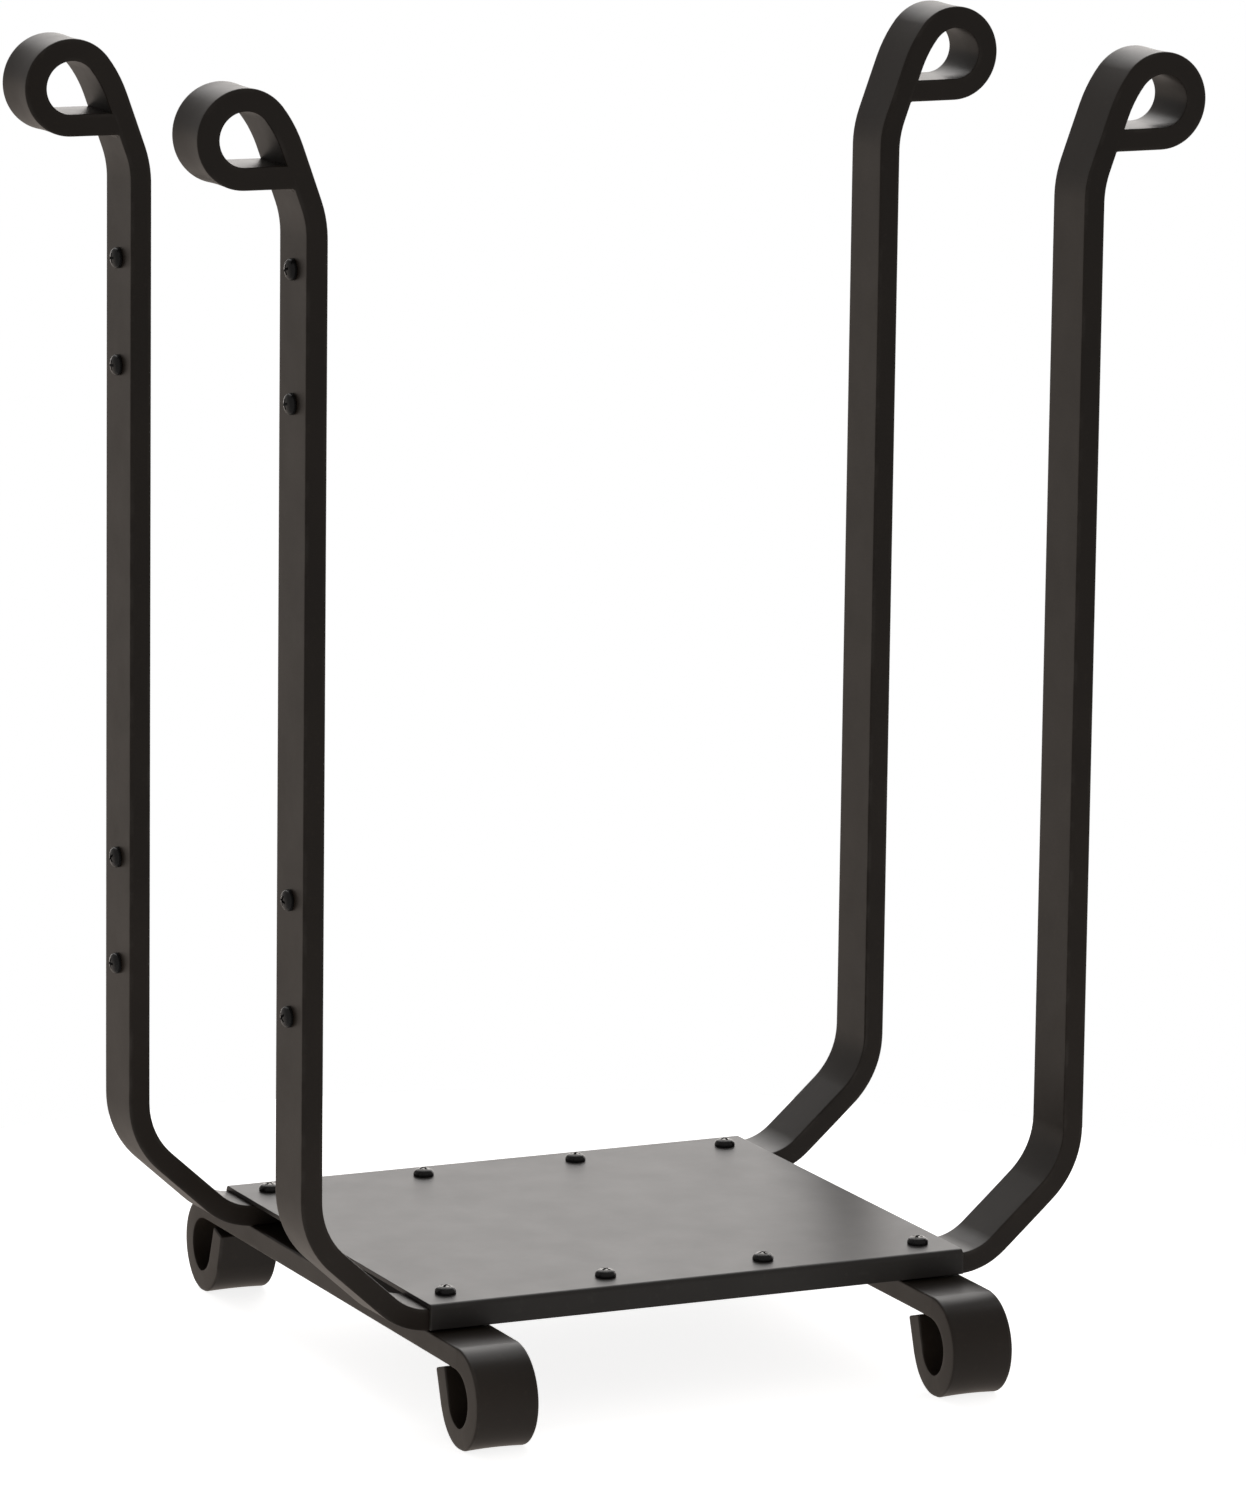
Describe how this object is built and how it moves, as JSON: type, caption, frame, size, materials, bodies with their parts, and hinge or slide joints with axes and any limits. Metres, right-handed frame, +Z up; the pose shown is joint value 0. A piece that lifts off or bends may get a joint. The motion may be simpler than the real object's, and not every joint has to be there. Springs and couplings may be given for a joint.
{
  "type": "firewood log rack",
  "caption": "Free-standing firewood rack: a flanged steel log plate screwed to two U-shaped flat-bar frames with scrolled tops, on two foot bars with curled ends",
  "frame": {"origin": "On the floor, under the middle of the rack.", "axes": "+Z up, +X to the right along the U-frames, the front of the rack faces -Y and the foot bars run along Y."},
  "size_m": [0.609, 0.4228, 0.7491],
  "materials": {
    "painted_bar": "satin black paint over forged flat bar",
    "painted_plate": "satin black paint over sheet steel",
    "screws": "glossy black"
  },
  "bodies": {
    "root": {"front_u_frame": "painted_bar", "back_u_frame": "painted_bar", "left_foot_bar": "painted_bar", "right_foot_bar": "painted_bar", "log_plate": "painted_plate", "plate_screw_front_1": "screws", "plate_screw_front_2": "screws", "plate_screw_front_3": "screws", "plate_screw_front_4": "screws", "plate_screw_back_1": "screws", "plate_screw_back_2": "screws", "plate_screw_back_3": "screws", "plate_screw_back_4": "screws", "side_screw_front_1": "screws", "side_screw_front_2": "screws", "side_screw_front_3": "screws", "side_screw_front_4": "screws", "side_screw_back_1": "screws", "side_screw_back_2": "screws", "side_screw_back_3": "screws", "side_screw_back_4": "screws"}
  },
  "joints": []
}
